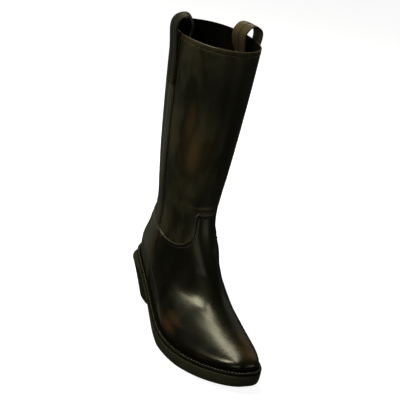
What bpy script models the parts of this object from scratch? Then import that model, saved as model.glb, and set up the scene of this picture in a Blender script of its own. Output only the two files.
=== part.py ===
"""A pull-on boot for the right foot: a hollow leather upper on a welted sole with an underslung heel.

The boot stands on its heel and forefoot. +Z is up, the toe points to -Y, the outer (lateral) side is -X.
Sizes are in millimetres. "a" is the distance forward of the heel's back, "z" the height above the floor.
"""
import math

import bmesh
import bpy
import numpy as np

MM = 0.001
FOOT_LENGTH = 298.5
WALL = 2.0
GAP = 0.3
OVERLAY = 1.2
WELT_THICK = 3.4
WELT_MARGIN = 7.5
WELT_INSET = 9.0
SOLE_MARGIN_TOP = 7.5
SOLE_MARGIN_BOTTOM = 6.0
INSOLE_RISE = 2.5
HEEL_TOP_BACK = 1.0
HEEL_TOP_FRONT = 72.0
HEEL_BOTTOM_BACK = 28.0
HEEL_BOTTOM_FRONT = 78.0
HEEL_TOP_HALF = 42.5
HEEL_BOTTOM_HALF = 28.5
HEEL_GAP = 0.5
SHELF_GAP = 0.6
STRAP_WIDTH = 25.0
STRAP_THICK = 2.4
STRAP_MIDDLE = 88.0
STRIP_WIDTH = 22.0
AROUND = 48
EVEN = np.linspace(0, 2 * math.pi, AROUND, endpoint=False)
# Angles shared by every ring and plate: a little closer together along the foot's sides than at its ends.
TURN = EVEN + 0.125 * np.sin(2 * EVEN)

# Share of the section's length, from its front end, where each half width below is reached.
STATIONS = np.array([0.0, 0.35, 0.62, 0.87, 1.0])

# One row per section of the upper, from the feather line (where it meets the welt) up to the collar.
# Each section lies in a plane that leans from its front end to its back end.
# front a, front z, back a, back z, droop, toe, ball, waist, heel half widths, toe shift, ball shift, power
SECTIONS = np.array([
    [293.0, 30.0, 5.5, 65.0, 1.00, 35.0, 47.0, 39.0, 39.5, 20.5, 3.5, 2.80],
    [293.5, 36.5, 4.0, 73.0, 1.00, 35.5, 47.8, 39.5, 41.5, 21.0, 4.0, 2.75],
    [290.0, 42.5, 3.5, 83.0, 1.00, 34.0, 46.5, 39.5, 42.5, 22.0, 5.5, 2.60],
    [281.5, 47.5, 4.5, 92.5, 0.95, 31.5, 43.3, 39.5, 43.5, 23.0, 7.0, 2.45],
    [265.5, 53.0, 7.5, 102.0, 0.82, 29.0, 39.0, 38.5, 43.5, 23.5, 8.5, 2.25],
    [242.5, 59.5, 11.0, 110.5, 0.68, 27.5, 35.5, 38.0, 43.0, 22.5, 9.2, 2.10],
    [217.5, 66.5, 14.5, 119.0, 0.50, 27.5, 34.5, 38.0, 42.0, 20.0, 9.0, 2.00],
    [194.0, 76.5, 18.0, 128.5, 0.30, 28.0, 33.8, 37.0, 39.5, 16.5, 7.0, 2.00],
    [174.0, 95.5, 21.5, 138.5, 0.12, 29.5, 32.8, 34.5, 36.5, 13.0, 5.0, 2.00],
    [158.5, 119.5, 25.0, 150.5, 0.03, 32.5, 33.5, 34.0, 34.5, 7.5, 2.6, 2.05],
    [149.0, 141.5, 28.0, 164.5, 0.00, 33.5, 33.5, 33.5, 34.0, 2.5, 0.8, 2.15],
    [145.0, 162.0, 29.5, 180.0, 0.00, 35.0, 35.0, 35.0, 35.0, 0.0, 0.0, 2.20],
    [144.0, 184.5, 29.5, 198.5, 0.00, 38.0, 38.0, 38.0, 38.0, 0.0, 0.0, 2.20],
    [145.0, 215.0, 28.0, 226.0, 0.00, 41.5, 41.5, 41.5, 41.5, 0.0, 0.0, 2.20],
    [149.0, 259.0, 24.5, 268.5, 0.00, 45.0, 45.0, 45.0, 45.0, 0.0, 0.0, 2.20],
    [154.5, 315.5, 19.5, 325.5, 0.00, 48.5, 48.5, 48.5, 48.5, 0.0, 0.0, 2.20],
    [160.5, 379.0, 14.5, 390.0, 0.00, 51.5, 51.5, 51.5, 51.5, 0.0, 0.0, 2.20],
])
COLLAR = len(SECTIONS) - 1

# Section numbers where the upper's faces meet, closer together round the toe and at the ankle's bend
FOOT_HEIGHTS = [0.0, 0.5, 1.0, 1.6, 2.3, 3.1, 4.0, 5.0, 6.0, 7.0]
HEIGHTS = np.concatenate([FOOT_HEIGHTS, np.arange(8, 12, 0.5), np.arange(12, 17, 1.0)])

# Height of the upper's lower edge along the foot: a, z
FEATHER = np.array([
    [0.0, 65.0], [35.0, 63.0], [65.0, 57.5], [100.0, 43.5], [135.0, 29.0],
    [165.0, 21.8], [195.0, 19.5], [230.0, 20.0], [265.0, 24.0], [300.0, 31.0],
])

# Height of the outsole's underside along the foot, before its flat tread is cut level: a, z
UNDERSIDE = np.array([
    [0.0, 56.5], [30.0, 53.7], [60.0, 48.8], [100.0, 33.5], [135.0, 15.5],
    [160.0, 4.5], [180.0, 0.0], [226.0, 0.0], [265.0, 4.5], [300.0, 12.0],
])

# Top edge of the vamp: angle from the toe in degrees on the outer and on the inner side, section number
VAMP_TOP = np.array([
    [0.0, 0.0, 11.28], [12.0, 26.0, 11.28], [17.0, 31.5, 11.1], [19.0, 34.0, 10.7], [21.0, 36.5, 10.35],
    [25.0, 41.0, 9.92], [31.0, 47.0, 9.52], [40.0, 55.0, 9.22], [50.0, 63.0, 8.96], [62.0, 72.0, 8.72],
    [72.0, 80.0, 8.56], [84.0, 88.0, 8.42], [97.0, 97.0, 8.28],
])
SEAM_A = 88.0
COUNTER_TOP = 8.2

# Front edge of the side strip: section number, a
STRIP_FRONT = np.array([[8.5, 87.0], [11.0, 89.0], [13.0, 94.5], [14.5, 97.5], [16.0, 98.5]])

# Middle line of a pull strap: distance out from the shaft's skin as a fixed part plus a share of the inner
# leg's reach, the height above the collar, and the twist as the slope of the strap's width outward
STRAP_PATH = np.array([
    [3.0, 0.0, -62.0, 0.0], [3.0, 0.0, -44.0, 0.0], [3.2, 0.0, -26.0, 0.0], [4.4, 0.0, -11.0, 0.0],
    [5.6, 0.0, 1.0, 0.0], [5.0, 0.0, 9.0, 0.05], [1.5, -0.05, 15.0, 0.15], [1.0, -0.5, 17.5, 0.28],
    [1.5, -0.85, 14.5, 0.35], [0.0, -1.0, 7.0, 0.37], [0.0, -1.0, -3.0, 0.37], [-1.0, -0.75, -14.0, 0.28],
    [-2.0, -0.45, -23.0, 0.15], [-3.3, -0.05, -32.0, 0.0],
])
REACH_LATERAL = 18.0
REACH_MEDIAL = 20.0
STRETCH_LATERAL = 1.15
STRETCH_MEDIAL = 1.0


def smooth_curve(knots, values, at):
    """A natural cubic curve through (knots, values), read at the given places."""
    knots = np.asarray(knots, float)
    values = np.asarray(values, float)
    count = len(knots)
    steps = np.diff(knots)
    matrix = np.eye(count)
    right = np.zeros(count)
    for i in range(1, count - 1):
        matrix[i, i - 1:i + 2] = steps[i - 1], 2 * (steps[i - 1] + steps[i]), steps[i]
        right[i] = 6 * ((values[i + 1] - values[i]) / steps[i] - (values[i] - values[i - 1]) / steps[i - 1])
    bend = np.linalg.solve(matrix, right)
    at = np.asarray(at, float)
    i = np.clip(np.searchsorted(knots, at) - 1, 0, count - 2)
    run = at - knots[i]
    step = steps[i]
    slope = (values[i + 1] - values[i]) / step - step * (2 * bend[i] + bend[i + 1]) / 6
    twist = (bend[i + 1] - bend[i]) / step
    return values[i] + run * slope + run ** 2 * bend[i] / 2 + run ** 3 * twist / 6


def feather_z(a):
    return smooth_curve(FEATHER[:, 0], FEATHER[:, 1], a)


def underside_z(a):
    return np.maximum(smooth_curve(UNDERSIDE[:, 0], UNDERSIDE[:, 1], a), 0.0)


def section_row(u):
    """The row of section sizes at a fractional section number u."""
    u = min(max(u, 0.0), COLLAR)
    i = min(int(u), COLLAR - 1)
    f = u - i
    first = SECTIONS[i]
    second = SECTIONS[i + 1]
    before = SECTIONS[i - 1] if i > 0 else 2 * first - second
    after = SECTIONS[i + 2] if i + 2 <= COLLAR else 2 * second - first
    cubic = -before + 3 * first - 3 * second + after
    square = 2 * before - 5 * first + 4 * second - after
    return 0.5 * (2 * first + (second - before) * f + square * f ** 2 + cubic * f ** 3)


def rounded(angle, power):
    """A point on a unit superellipse in the given direction: along, across."""
    c = np.cos(angle)
    s = np.sin(angle)
    radius = (np.abs(c) ** power + np.abs(s) ** power) ** (1 / power)
    return c / radius, s / radius


def place(x, a, z):
    return np.stack([x, FOOT_LENGTH / 2 - a, z], axis=-1)


def section_points(row, angle):
    """Points round one section. Angle 0 is the front, a quarter turn is the outer (lateral) side."""
    front_a, front_z, back_a, back_z, droop, toe, ball, waist, heel, toe_shift, ball_shift, power = row
    along, across = rounded(angle, power)
    share = (1 - along) / 2
    half = smooth_curve(STATIONS, [toe, ball, waist, heel, heel], share)
    middle = smooth_curve(STATIONS, [toe_shift, ball_shift, 0.5 * droop, 0.0, 0.0], share)
    a = front_a + share * (back_a - front_a)
    lowest = SECTIONS[0]
    chord = lowest[1] + (a - lowest[0]) / (lowest[2] - lowest[0]) * (lowest[3] - lowest[1])
    z = front_z + share * (back_z - front_z) + droop * (feather_z(a) - chord)
    return place(middle - across * half, a, z)


def skin(u, angle, lift):
    """Points on the upper's outer skin, lifted along its normal. u and angle are arrays of one shape."""
    u = np.broadcast_to(np.asarray(u, float), np.shape(angle))
    points = np.empty(np.shape(angle) + (3,))
    for i in np.ndindex(np.shape(angle)):
        low = max(u[i] - 0.05, 0.0)
        high = min(u[i] + 0.05, COLLAR)
        turn = np.array([angle[i] - 0.01, angle[i], angle[i] + 0.01])
        around = section_points(section_row(u[i]), turn)
        upward = section_points(section_row(high), turn[1:2]) - section_points(section_row(low), turn[1:2])
        normal = np.cross(upward[0], around[2] - around[0])
        points[i] = around[1] + normal / np.linalg.norm(normal) * lift
    return points


def angle_at(u, a, side):
    """The angle where section u passes the distance a, on side +1 (lateral) or -1 (medial)."""
    row = section_row(u)
    along = np.clip(1 - 2 * (a - row[0]) / (row[2] - row[0]), -1, 1)
    across = (1 - np.abs(along) ** row[11]) ** (1 / row[11])
    return side * np.arctan2(across, along)


def make_object(name, vertices, faces, colour, roughness):
    mesh = bpy.data.meshes.new(name)
    mesh.from_pydata([tuple(v) for v in np.asarray(vertices) * MM], [], faces)
    work = bmesh.new()
    work.from_mesh(mesh)
    bmesh.ops.recalc_face_normals(work, faces=work.faces)
    work.to_mesh(mesh)
    work.free()
    mesh.shade_smooth()
    mesh.set_sharp_from_angle(angle=math.radians(40))
    material = bpy.data.materials.new(name)
    material.use_nodes = True
    shader = material.node_tree.nodes["Principled BSDF"]
    shader.inputs["Base Color"].default_value = colour + (1.0,)
    shader.inputs["Roughness"].default_value = roughness
    shader.inputs["Metallic"].default_value = 0.0
    mesh.materials.append(material)
    thing = bpy.data.objects.new(name, mesh)
    bpy.context.scene.collection.objects.link(thing)
    thing.parent = boot
    return thing


def bridge(loops, closed):
    """Faces joining each closed loop of points to the next, and the last to the first if closed."""
    count = len(loops[0])
    faces = []
    for i in range(len(loops) if closed else len(loops) - 1):
        here = i * count
        there = (i + 1) % len(loops) * count
        for k in range(count):
            following = (k + 1) % count
            faces.append((here + k, here + following, there + following, there + k))
    return faces


def ladder(first, count):
    """A cap over one loop: each point is joined to the one across from it."""
    faces = [(first, first + 1, first + count - 1)]
    for k in range(1, count // 2 - 1):
        faces.append((first + k, first + k + 1, first + count - k - 1, first + count - k))
    faces.append((first + count // 2 - 1, first + count // 2, first + count // 2 + 1))
    return faces


def make_ring(name, loops, colour, roughness):
    return make_object(name, np.concatenate(loops), bridge(loops, True), colour, roughness)


def make_stack(name, loops, colour, roughness):
    count = len(loops[0])
    faces = bridge(loops, False) + ladder(0, count) + ladder((len(loops) - 1) * count, count)
    return make_object(name, np.concatenate(loops), faces, colour, roughness)


def make_sheet(name, u, angle, colour, roughness):
    """A piece of leather laid on the skin over a grid of (u, angle)."""
    under = skin(u, angle, GAP)
    over = skin(u, angle, GAP + OVERLAY)
    rows, columns = angle.shape
    half = rows * columns
    faces = []
    for i in range(rows - 1):
        for k in range(columns - 1):
            first = i * columns + k
            quad = (first, first + 1, first + columns + 1, first + columns)
            faces.append(quad)
            faces.append(tuple(half + corner for corner in reversed(quad)))
    rim = list(range(columns))
    rim += [i * columns + columns - 1 for i in range(1, rows)]
    rim += [(rows - 1) * columns + k for k in range(columns - 2, -1, -1)]
    rim += [i * columns for i in range(rows - 2, 0, -1)]
    for here, there in zip(rim, rim[1:] + rim[:1]):
        faces.append((there, here, half + here, half + there))
    vertices = np.concatenate([under.reshape(-1, 3), over.reshape(-1, 3)])
    return make_object(name, vertices, faces, colour, roughness)


def plate_outline(margin, height, angle):
    """The lowest section's outline grown by a margin, at a height given by a function of a."""
    row = SECTIONS[0].copy()
    row[0] += margin
    row[2] -= margin
    row[5:9] += margin
    points = section_points(row, angle)
    points[:, 2] = height(FOOT_LENGTH / 2 - points[:, 1])
    return points


def make_upper():
    turn = TURN
    outside = [skin(u, turn, 0.0) for u in HEIGHTS]
    inside = [skin(u, turn, -WALL) for u in HEIGHTS[::-1]]
    return make_ring("upper", outside + inside, (0.020, 0.019, 0.013), 0.35)


def seam_angles(levels, a, turned):
    """At each level, a row of angles that lead from the turned angle (in degrees) to the distance a."""
    steps = np.linspace(0, 1, 6)[1:]
    ends = np.array([angle_at(level, a, 1) for level in levels])
    start = math.radians(turned)
    return start + steps[None, :] * (ends - start)[:, None]


def vamp_side(corners):
    """Sections and angles of one side of the vamp. corners are the angles of its top edge's corners."""
    shared = np.degrees(TURN[TURN < 1.6])
    half = np.sort(np.concatenate([shared, corners[1:6]]))
    toward = np.linspace(half[-1], 97, 6)[1:]
    named = np.concatenate([half, toward])
    top = np.interp(named, corners, VAMP_TOP[:, 2])
    levels = np.concatenate([[0.06], HEIGHTS[(HEIGHTS > 0.1) & (HEIGHTS <= 8)]])
    lower = levels[:, None] + np.zeros(len(named))
    upper = 8 + np.array([0.25, 0.5, 0.75, 1.0])[:, None] * (top - 8)
    u = np.concatenate([lower, upper])
    side = seam_angles(u[:, -1], SEAM_A + 0.2, half[-1])
    angle = np.concatenate([np.radians(half) + np.zeros((len(u), len(half))), side], axis=1)
    return u, angle


def make_vamp():
    outer_u, outer_angle = vamp_side(VAMP_TOP[:, 0])
    inner_u, inner_angle = vamp_side(VAMP_TOP[:, 1])
    both_u = np.concatenate([inner_u[:, :0:-1], outer_u], axis=1)
    both_angle = np.concatenate([-inner_angle[:, :0:-1], outer_angle], axis=1)
    return make_sheet("vamp", both_u, both_angle, (0.018, 0.015, 0.010), 0.22)


def make_counter():
    shared = TURN[(TURN > 2.05) & (TURN <= math.pi)]
    levels = HEIGHTS[(HEIGHTS > 0.1) & (HEIGHTS < COUNTER_TOP - 0.3)]
    levels = np.concatenate([[0.06], levels, [COUNTER_TOP]])
    side = seam_angles(levels, SEAM_A - 0.2, math.degrees(shared[0]))[:, ::-1]
    half = np.concatenate([side, shared + np.zeros((len(levels), len(shared)))], axis=1)
    angle = np.concatenate([half, 2 * math.pi - half[:, -2::-1]], axis=1)
    u = levels[:, None] + np.zeros(angle.shape)
    return make_sheet("counter", u, angle, (0.018, 0.018, 0.013), 0.32)


def make_strip(name, side):
    heights = np.linspace(STRIP_FRONT[0, 0], COLLAR - 0.04, 12)
    across = np.linspace(0, STRIP_WIDTH, 5)
    u = np.broadcast_to(heights[:, None], (len(heights), len(across)))
    angle = np.empty(u.shape)
    for i, height in enumerate(heights):
        front = smooth_curve(STRIP_FRONT[:, 0], STRIP_FRONT[:, 1], height)
        angle[i] = angle_at(height, front - across, side)
    return make_sheet(name, u, angle, (0.020, 0.020, 0.015), 0.33)


def make_strap(name, side, reach, stretch):
    marks = np.arange(len(STRAP_PATH), dtype=float)
    fine = np.linspace(0, len(STRAP_PATH) - 1, 27)
    out = smooth_curve(marks, STRAP_PATH[:, 0] + reach * STRAP_PATH[:, 1], fine)
    up = smooth_curve(marks, STRAP_PATH[:, 2], fine)
    up = np.where(up > 0, up * stretch, up)
    twist = smooth_curve(marks, STRAP_PATH[:, 3], fine)
    run_out = np.gradient(out)
    run_up = np.gradient(up)
    length = np.hypot(run_out, run_up)
    columns = STRAP_MIDDLE + np.linspace(-STRAP_WIDTH / 2, STRAP_WIDTH / 2, 5)
    last_rise = SECTIONS[COLLAR, 1] - SECTIONS[COLLAR - 1, 1]
    loops = []
    for i in range(len(fine)):
        loop = []
        for face in (1, -1):
            far = out[i] + face * run_up[i] / length[i] * STRAP_THICK / 2
            high = up[i] - face * run_out[i] / length[i] * STRAP_THICK / 2
            for a in columns[::face]:
                u = COLLAR + min(high, 0.0) / last_rise
                angle = np.array([angle_at(u, a, side)])
                base = skin(u, angle, 0.0)[0]
                outward = skin(u, angle, 1.0)[0] - base
                shaft = skin(COLLAR, angle, 0.0)[0] - skin(COLLAR - 0.3, angle, 0.0)[0]
                rise = shaft / np.linalg.norm(shaft) * max(high, 0.0)
                twisted = far + twist[i] * (a - STRAP_MIDDLE)
                loop.append(base + outward * twisted + rise)
        loops.append(np.array(loop))
    return make_stack(name, loops, (0.026, 0.022, 0.015), 0.38)


def make_welt():
    turn = TURN

    def top(a):
        return feather_z(a) - GAP

    def bottom(a):
        return feather_z(a) - GAP - WELT_THICK

    loops = [
        plate_outline(-WELT_INSET, bottom, turn),
        plate_outline(WELT_MARGIN - 0.5, bottom, turn),
        plate_outline(WELT_MARGIN, lambda a: feather_z(a) - GAP - WELT_THICK / 2, turn),
        plate_outline(WELT_MARGIN - 0.7, top, turn),
        plate_outline(-WALL - 1.2, top, turn),
        plate_outline(-WELT_INSET, top, turn),
    ]
    return make_ring("welt", loops, (0.022, 0.019, 0.014), 0.45)


def make_insole():
    turn = TURN

    def low(a):
        return feather_z(a) - GAP - WELT_THICK

    def mid(a):
        return feather_z(a) - GAP + SHELF_GAP

    def high(a):
        return feather_z(a) + INSOLE_RISE

    loops = [
        plate_outline(-WELT_INSET - 0.6, low, turn),
        plate_outline(-WELT_INSET - 0.6, mid, turn),
        plate_outline(-WALL - 1.2, mid, turn),
        plate_outline(-WALL - 1.2, high, turn),
    ]
    return make_stack("insole", loops, (0.020, 0.018, 0.016), 0.70)


def make_outsole():
    turn = TURN

    def top(a):
        return feather_z(a) - 2 * GAP - WELT_THICK

    def between(a):
        return 0.3 * underside_z(a) + 0.7 * top(a)

    def low(a):
        return underside_z(a) + 1.2

    loops = [
        plate_outline(-WELT_INSET, top, turn),
        plate_outline(SOLE_MARGIN_TOP - 0.6, top, turn),
        plate_outline(SOLE_MARGIN_TOP, between, turn),
        plate_outline(SOLE_MARGIN_BOTTOM, low, turn),
        plate_outline(SOLE_MARGIN_BOTTOM - 1.2, underside_z, turn),
        plate_outline(SOLE_MARGIN_BOTTOM - 6.5, underside_z, turn),
    ]
    return make_stack("outsole", loops, (0.020, 0.020, 0.015), 0.50)


def heel_outline(back, front, half, angle):
    """A heel outline: round behind, almost straight across in front."""
    along, across = rounded(angle, np.where(np.cos(angle) > 0, 6.0, 2.3))
    middle = back + 0.55 * (front - back)
    reach = np.where(along > 0, front - middle, middle - back)
    return -across * half, middle + along * reach


def make_heel():
    turn = np.linspace(0, 2 * math.pi, 40, endpoint=False)
    loops = []
    for share in (0.0, 0.12, 0.3, 0.5, 0.7, 0.88, 0.97, 1.0):
        taper = share ** 0.9
        edge = 0.8 if share == 1.0 else 0.0
        back = HEEL_TOP_BACK + taper * (HEEL_BOTTOM_BACK - HEEL_TOP_BACK) + edge
        front = HEEL_TOP_FRONT + taper * (HEEL_BOTTOM_FRONT - HEEL_TOP_FRONT) - edge
        half = HEEL_TOP_HALF + taper * (HEEL_BOTTOM_HALF - HEEL_TOP_HALF) - edge
        x, a = heel_outline(back, front, half, turn)
        top_x, top_a = heel_outline(HEEL_TOP_BACK, HEEL_TOP_FRONT, HEEL_TOP_HALF, turn)
        loops.append(place(x, a, (underside_z(top_a) - HEEL_GAP) * (1 - share)))
    return make_stack("heel", loops, (0.022, 0.022, 0.017), 0.48)


for old in list(bpy.data.objects):
    bpy.data.objects.remove(old, do_unlink=True)

boot = bpy.data.objects.new("boot", None)
bpy.context.scene.collection.objects.link(boot)

make_outsole()
make_heel()
make_welt()
make_insole()
make_upper()
make_vamp()
make_counter()
make_strip("side_strip_lateral", 1)
make_strip("side_strip_medial", -1)
make_strap("pull_loop_lateral", 1, REACH_LATERAL, STRETCH_LATERAL)
make_strap("pull_loop_medial", -1, REACH_MEDIAL, STRETCH_MEDIAL)
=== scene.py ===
# %% [markdown]
# # A pull-on boot in burnished leather
# The boot is one right boot: a tall leather shaft, a polished vamp over the foot, a welted sole and an
# underslung heel. Its solids were made earlier and are loaded here as a fixed frame. This script puts the
# finished leather, the stitches and the light around that frame, one piece at a time.

# %% Load the frame
import math

import bpy
import numpy as np
from mathutils import Matrix, Quaternion, Vector


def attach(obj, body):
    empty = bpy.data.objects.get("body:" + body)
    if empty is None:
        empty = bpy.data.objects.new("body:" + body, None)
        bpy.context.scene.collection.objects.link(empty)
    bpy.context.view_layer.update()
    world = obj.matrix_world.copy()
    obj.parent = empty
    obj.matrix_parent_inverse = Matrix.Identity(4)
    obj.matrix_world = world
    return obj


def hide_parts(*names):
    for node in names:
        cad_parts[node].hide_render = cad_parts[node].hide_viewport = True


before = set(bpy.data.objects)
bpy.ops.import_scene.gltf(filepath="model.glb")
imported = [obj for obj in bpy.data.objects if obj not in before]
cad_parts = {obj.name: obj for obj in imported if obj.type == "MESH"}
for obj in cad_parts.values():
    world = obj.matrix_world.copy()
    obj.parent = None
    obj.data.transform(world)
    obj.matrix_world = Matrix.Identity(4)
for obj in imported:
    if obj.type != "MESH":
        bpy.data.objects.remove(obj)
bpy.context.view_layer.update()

# %% [markdown]
# ## The shape of the last
# A boot is pulled over a last, so every piece of its leather follows one surface. That surface is described
# by a short table of sections, from the feather line at the sole up to the collar. Between two rows the
# sizes run on a smooth curve. A place on the leather then has two numbers: the section u and the angle round
# it, where angle 0 is the toe's side and a quarter turn is the outer side of the foot. Pieces that are cut
# from these two numbers fit each other without any fitting by eye. Sizes are in millimetres until a mesh
# is made.

# %% Sections of the upper
MM = 0.001
FOOT_LENGTH = 298.5
WALL = 2.0

# a runs along the foot from the heel, z is the height, droop is how far a section follows the sole's curve.
# front a, front z, back a, back z, droop, toe, ball, waist, heel half widths, toe shift, ball shift, power
SECTIONS = np.array([
    [293.0, 30.0, 5.5, 65.0, 1.00, 35.0, 47.0, 39.0, 39.5, 20.5, 3.5, 2.80],
    [293.5, 36.5, 4.0, 73.0, 1.00, 35.5, 47.8, 39.5, 41.5, 21.0, 4.0, 2.75],
    [290.0, 42.5, 3.5, 83.0, 1.00, 34.0, 46.5, 39.5, 42.5, 22.0, 5.5, 2.60],
    [281.5, 47.5, 4.5, 92.5, 0.95, 31.5, 43.3, 39.5, 43.5, 23.0, 7.0, 2.45],
    [265.5, 53.0, 7.5, 102.0, 0.82, 29.0, 39.0, 38.5, 43.5, 23.5, 8.5, 2.25],
    [242.5, 59.5, 11.0, 110.5, 0.68, 27.5, 35.5, 38.0, 43.0, 22.5, 9.2, 2.10],
    [217.5, 66.5, 14.5, 119.0, 0.50, 27.5, 34.5, 38.0, 42.0, 20.0, 9.0, 2.00],
    [194.0, 76.5, 18.0, 128.5, 0.30, 28.0, 33.8, 37.0, 39.5, 16.5, 7.0, 2.00],
    [174.0, 95.5, 21.5, 138.5, 0.12, 29.5, 32.8, 34.5, 36.5, 13.0, 5.0, 2.00],
    [158.5, 119.5, 25.0, 150.5, 0.03, 32.5, 33.5, 34.0, 34.5, 7.5, 2.6, 2.05],
    [149.0, 141.5, 28.0, 164.5, 0.00, 33.5, 33.5, 33.5, 34.0, 2.5, 0.8, 2.15],
    [145.0, 162.0, 29.5, 180.0, 0.00, 35.0, 35.0, 35.0, 35.0, 0.0, 0.0, 2.20],
    [144.0, 184.5, 29.5, 198.5, 0.00, 38.0, 38.0, 38.0, 38.0, 0.0, 0.0, 2.20],
    [145.0, 215.0, 28.0, 226.0, 0.00, 41.5, 41.5, 41.5, 41.5, 0.0, 0.0, 2.20],
    [149.0, 259.0, 24.5, 268.5, 0.00, 45.0, 45.0, 45.0, 45.0, 0.0, 0.0, 2.20],
    [154.5, 315.5, 19.5, 325.5, 0.00, 48.5, 48.5, 48.5, 48.5, 0.0, 0.0, 2.20],
    [160.5, 379.0, 14.5, 390.0, 0.00, 51.5, 51.5, 51.5, 51.5, 0.0, 0.0, 2.20],
])
COLLAR = len(SECTIONS) - 1
STATIONS = np.array([0.0, 0.35, 0.62, 0.87, 1.0])

# Height of the upper's lower edge along the foot, and of the sole's underside: a, z
FEATHER = np.array([
    [0.0, 65.0], [35.0, 63.0], [65.0, 57.5], [100.0, 43.5], [135.0, 29.0],
    [165.0, 21.8], [195.0, 19.5], [230.0, 20.0], [265.0, 24.0], [300.0, 31.0],
])
UNDERSIDE = np.array([
    [0.0, 56.5], [30.0, 53.7], [60.0, 48.8], [100.0, 33.5], [135.0, 15.5],
    [160.0, 4.5], [180.0, 0.0], [226.0, 0.0], [265.0, 4.5], [300.0, 12.0],
])
print("upper:", len(SECTIONS), "sections, collar at", SECTIONS[COLLAR, 1], "to", SECTIONS[COLLAR, 3], "mm")

# %% Curves through named places


def smooth_curve(knots, values, at):
    """A natural cubic curve through (knots, values), read at the given places."""
    knots = np.asarray(knots, float)
    values = np.asarray(values, float)
    count = len(knots)
    steps = np.diff(knots)
    matrix = np.eye(count)
    right = np.zeros(count)
    for i in range(1, count - 1):
        matrix[i, i - 1:i + 2] = steps[i - 1], 2 * (steps[i - 1] + steps[i]), steps[i]
        right[i] = 6 * ((values[i + 1] - values[i]) / steps[i] - (values[i] - values[i - 1]) / steps[i - 1])
    bend = np.linalg.solve(matrix, right)
    at = np.asarray(at, float)
    i = np.clip(np.searchsorted(knots, at) - 1, 0, count - 2)
    run = at - knots[i]
    step = steps[i]
    slope = (values[i + 1] - values[i]) / step - step * (2 * bend[i] + bend[i + 1]) / 6
    twist = (bend[i + 1] - bend[i]) / step
    return values[i] + run * slope + run ** 2 * bend[i] / 2 + run ** 3 * twist / 6


def unit(vectors):
    return vectors / np.linalg.norm(vectors, axis=-1, keepdims=True)


def hill(distance, width):
    """A soft hill of height 1, by the distance from its middle."""
    return np.exp(-(distance / width) ** 2)


def climb(value, start, run):
    """0 up to the start, then evenly up to 1 over a run."""
    return np.clip((value - start) / run, 0, 1)


CROWDING = 0.125


def crowded_turn(count):
    """Angles once round the boot, closer together at the sides."""
    turn = np.linspace(0, 2 * math.pi, count, endpoint=False)
    return turn + CROWDING * np.sin(2 * turn)


def feather_z(a):
    return smooth_curve(FEATHER[:, 0], FEATHER[:, 1], a)


def underside_z(a):
    return np.maximum(smooth_curve(UNDERSIDE[:, 0], UNDERSIDE[:, 1], a), 0.0)


def section_rows(u):
    """The rows of section sizes at fractional section numbers, for an array of any shape."""
    u = np.clip(u, 0.0, COLLAR)
    i = np.minimum(u.astype(int), COLLAR - 1)
    f = (u - i)[..., None]
    first = SECTIONS[i]
    second = SECTIONS[i + 1]
    before = np.where((i > 0)[..., None], SECTIONS[np.maximum(i - 1, 0)], 2 * first - second)
    after = np.where((i + 2 <= COLLAR)[..., None], SECTIONS[np.minimum(i + 2, COLLAR)], 2 * second - first)
    cubic = -before + 3 * first - 3 * second + after
    square = 2 * before - 5 * first + 4 * second - after
    return 0.5 * (2 * first + (second - before) * f + square * f ** 2 + cubic * f ** 3)


def rounded(angle, power):
    """A point on a unit superellipse in the given direction: along, across."""
    c = np.cos(angle)
    s = np.sin(angle)
    radius = (np.abs(c) ** power + np.abs(s) ** power) ** (1 / power)
    return c / radius, s / radius


def place(x, a, z):
    return np.stack([x, FOOT_LENGTH / 2 - a, z], axis=-1)


def outline(rows, angle):
    """Points on the sections given by rows, at the given angles."""
    along, across = rounded(angle, rows[..., 11])
    share = (1 - along) / 2
    half = np.zeros(np.shape(share))
    middle = np.zeros(np.shape(share))
    widths = [rows[..., 5], rows[..., 6], rows[..., 7], rows[..., 8], rows[..., 8]]
    shifts = [rows[..., 9], rows[..., 10], 0.5 * rows[..., 4]]
    for k in range(len(STATIONS)):
        weight = smooth_curve(STATIONS, np.eye(len(STATIONS))[k], share)
        half += weight * widths[k]
        if k < len(shifts):
            middle += weight * shifts[k]
    a = rows[..., 0] + share * (rows[..., 2] - rows[..., 0])
    lowest = SECTIONS[0]
    chord = lowest[1] + (a - lowest[0]) / (lowest[2] - lowest[0]) * (lowest[3] - lowest[1])
    z = rows[..., 1] + share * (rows[..., 3] - rows[..., 1]) + rows[..., 4] * (feather_z(a) - chord)
    return place(middle - across * half, a, z)


def skin_point(u, angle):
    return outline(section_rows(u), angle)


NEAR_SECTION = 0.05
NEAR_ANGLE = 0.01


def skin_normal(u, angle):
    above = np.minimum(u + NEAR_SECTION, COLLAR)
    below = np.maximum(u - NEAR_SECTION, 0.0)
    up = skin_point(above, angle) - skin_point(below, angle)
    around = skin_point(u, angle + NEAR_ANGLE) - skin_point(u, angle - NEAR_ANGLE)
    return unit(np.cross(up, around))


def angle_at(u, a, side):
    """The angle where section u passes the distance a, on side +1 (lateral) or -1 (medial)."""
    rows = section_rows(np.asarray(u, float))
    along = np.clip(1 - 2 * (a - rows[..., 0]) / (rows[..., 2] - rows[..., 0]), -1, 1)
    power = rows[..., 11]
    across = (1 - np.abs(along) ** power) ** (1 / power)
    return side * np.arctan2(across, along)


collar_front = skin_point(np.array([float(COLLAR)]), np.array([0.0]))[0]
print("collar's front point, mm:", collar_front.round(1))
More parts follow.
